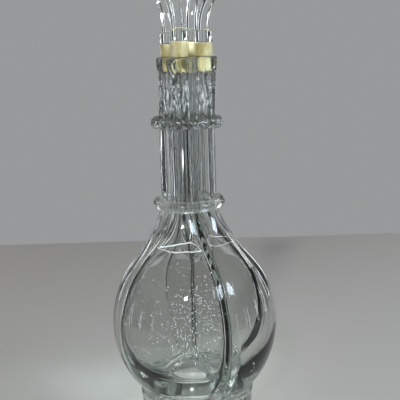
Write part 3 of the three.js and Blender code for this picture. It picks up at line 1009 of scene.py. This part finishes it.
CAMERA_PITCH = math.radians(11.702)
CAMERA_ROLL = math.radians(-1.7475)
CAMERA_PLACE = (0.00636, -0.56492, 0.27403)   # before the azimuth turn
PHOTO_WIDTH_PX = 400
FOCAL_PX = 820.4
FLOOR_HALF = 0.5
FLOOR_COLOUR = (0.60, 0.567, 0.528, 1)


def build_camera():
    data = bpy.data.cameras.new("camera")
    data.sensor_width = 36
    data.lens = FOCAL_PX / PHOTO_WIDTH_PX * data.sensor_width
    data.clip_start = 0.01
    camera = bpy.data.objects.new("camera", data)
    bpy.context.collection.objects.link(camera)
    turn = Matrix.Rotation(CAMERA_AZIMUTH, 4, "Z")
    aim = Matrix.Rotation(math.pi / 2 - CAMERA_PITCH, 4, "X") @ Matrix.Rotation(CAMERA_ROLL, 4, "Z")
    camera.matrix_world = turn @ Matrix.Translation(CAMERA_PLACE) @ aim
    bpy.context.scene.camera = camera


def build_floor():
    turn = Matrix.Rotation(CAMERA_AZIMUTH, 3, "Z")
    square = ((-1, -1), (1, -1), (1, 1), (-1, 1))
    corners = [turn @ Vector((x * FLOOR_HALF, y * FLOOR_HALF, 0)) for x, y in square]
    mesh = bpy.data.meshes.new("floor")
    mesh.from_pydata(corners, [], [(0, 1, 2, 3)])
    floor = bpy.data.objects.new("floor", mesh)
    bpy.context.collection.objects.link(floor)
    mesh.materials.append(floor_material())


# Light and surroundings

WHITE = (1, 1, 1)
WINDOW_BLUE = (0.74, 0.87, 1.0)
LIGHT_AIM = Vector((0, 0, 0.13))
# Name, place before the azimuth turn, width and height, watts, colour
LIGHTS = [
    ("key", (-0.33, -1.47, 1.11), (0.13, 0.13), 12.5, WHITE),
    ("window_pane_left", (0.76, -0.65, 0.76), (0.23, 0.36), 3.9, WINDOW_BLUE),
    ("window_pane_right", (0.89, -0.46, 0.76), (0.23, 0.36), 3.9, WINDOW_BLUE),
    ("strip_left", (-0.57, 0.57, 0.40), (0.09, 0.24), 0.26, WHITE),
    ("strip_right", (0.57, 0.57, 0.40), (0.09, 0.24), 0.26, WHITE),
]

BACKGROUND = (0.315, 0.32, 0.325, 1)
CEILING = (0.05, 0.05, 0.052, 1)
SKYLIGHT = (0.38, 0.385, 0.375, 1)
AMBIENT = (0.12, 0.12, 0.122, 1)
TUBE_LIGHT = (5.6, 5.9, 6.2, 1)
BAR_DARK = (0.07, 0.075, 0.075, 1)
BAR_LIGHT = (0.58, 0.59, 0.60, 1)
TUBE_COUNT = 18               # tube lights and bars in a whole turn
BAR_COUNT = 60

# Start and end of each change, as the height or the cosine of the bearing from straight ahead
CEILING_RISE = (0.10, 0.24)
CEILING_SPAN = (-0.45, -0.15)
SKYLIGHT_RISE = (0.32, 0.42)
SCREEN_FRONT = (0.955, 0.92)
SCREEN_BACK = (-0.6, -0.4)
SCREEN_FOOT = (-0.50, -0.42)
TUBE_EDGE = (0.96, 0.995)
TUBE_TOP = (0.16, 0.08)
TUBE_FOOT = (-0.34, -0.28)


def area_light(name, place, size, watts, colour):
    data = bpy.data.lights.new(name, "AREA")
    data.shape = "ELLIPSE"
    data.size, data.size_y = size
    data.energy = watts
    data.color = colour
    light = bpy.data.objects.new(name, data)
    light.visible_camera = False
    bpy.context.collection.objects.link(light)
    light.location = Matrix.Rotation(CAMERA_AZIMUTH, 4, "Z") @ Vector(place)
    aim = LIGHT_AIM - light.location
    light.rotation_euler = aim.to_track_quat("-Z", "Y").to_euler()


def build_world():
    """Barred surroundings, a dark ceiling, paler light above it, and dark screens with tube lights."""
    world = bpy.data.worlds.new("studio")
    bpy.context.scene.world = world
    world.use_nodes = True
    tree = world.node_tree
    coords = tree.nodes.new("ShaderNodeTexCoord")
    split = tree.nodes.new("ShaderNodeSeparateXYZ")
    tree.links.new(coords.outputs["Generated"], split.inputs["Vector"])
    x, y, z = split.outputs["X"], split.outputs["Y"], split.outputs["Z"]
    bearing = math_node(tree, "ARCTAN2", math_node(tree, "MULTIPLY", x, -1.0), y)
    bearing = math_node(tree, "SUBTRACT", bearing, CAMERA_AZIMUTH)
    ahead = math_node(tree, "COSINE", bearing)
    ceiling = product(tree, ramp_node(tree, z, *CEILING_RISE), ramp_node(tree, ahead, *CEILING_SPAN))
    screens = product(tree, ramp_node(tree, ahead, *SCREEN_FRONT), ramp_node(tree, ahead, *SCREEN_BACK),
                      ramp_node(tree, z, *SCREEN_FOOT))
    waves = math_node(tree, "COSINE", product(tree, bearing, TUBE_COUNT))
    tubes = product(tree, ramp_node(tree, waves, *TUBE_EDGE), screens, ramp_node(tree, z, *TUBE_TOP),
                    ramp_node(tree, z, *TUBE_FOOT))
    bars = math_node(tree, "COSINE", product(tree, bearing, BAR_COUNT))
    bars = math_node(tree, "MULTIPLY_ADD", bars, 0.5, 0.5)
    around = mix_colours(tree, bars, BAR_DARK, BAR_LIGHT)
    around = mix_colours(tree, math_node(tree, "MAXIMUM", screens, ceiling), around, CEILING)
    around = mix_colours(tree, ramp_node(tree, z, *SKYLIGHT_RISE), around, SKYLIGHT)
    around = mix_colours(tree, tubes, around, TUBE_LIGHT)
    path = tree.nodes.new("ShaderNodeLightPath")
    bent = math_node(tree, "MAXIMUM", path.outputs["Is Glossy Ray"], path.outputs["Is Transmission Ray"])
    seen = mix_colours(tree, bent, AMBIENT, around)
    seen = mix_colours(tree, path.outputs["Is Camera Ray"], seen, BACKGROUND)
    tree.links.new(seen, tree.nodes["Background"].inputs["Color"])


# Assembly

LIGHT_BOUNCES = 64

build_camera()
build_floor()
build_world()
for light in LIGHTS:
    area_light(*light)

# The neck and bulb glass and the lumpy ring glass carry painted shade in their colour
neck_glass = glass_material("neck_and_bulb_glass", neck_bump, NECK_RELIEF, painted_neck_shade)
lumpy_glass = glass_material("lumpy_ring_glass", lumpy_bump, RING_RELIEF, painted_ring_shade)
smooth_glass = glass_material("polished_glass", soft_bump, SOFT_RELIEF)
# The lower ring and finial glass take the paler tint as painted light
soft_glass = glass_material("lower_ring_glass", soft_bump, SOFT_RELIEF, haze=LOWER_RING_HAZE, tint=PAINTED_LIGHT_TINT)
finial_glass = glass_material("finial_glass", soft_bump, SOFT_RELIEF, haze=FINIAL_HAZE, tint=PAINTED_LIGHT_TINT)
aged_plastic = plastic_material()
# Real residue on the tide lines, and partly painted glints and highlights on the drops, neck runs and bubbles
dried = residue_and_glint_material()

build_body(neck_glass)
build_rings((soft_glass, lumpy_glass))
build_foot(smooth_glass)
build_tide_line("front_left", TIDE_Z, TIDE_HALF, dried)
build_tide_line("front_right", FAINT_TIDE_Z, FAINT_TIDE_HALF, dried)
build_beads("dried_drops_and_glints_front_left", DROP_PATCHES, (0, 0), DROP_REACH, dried)
# Bubbles drawn whitish as painted glints
build_all_glint_seeds(dried)
# Whitish runs in the upper necks, partly painted highlights
for quarter in QUARTERS[1:]:
    build_beads(f"neck_runs_and_painted_highlights_{quarter}", NECK_PATCHES, plug_middle(quarter)[:2], 0, dried)
for quarter in QUARTERS:
    build_finial(quarter, finial_glass)
    build_plug(quarter, aged_plastic)

scene = bpy.context.scene
scene.view_settings.view_transform = "Standard"
scene.cycles.max_bounces = LIGHT_BOUNCES
scene.cycles.transmission_bounces = LIGHT_BOUNCES
scene.cycles.transparent_max_bounces = LIGHT_BOUNCES
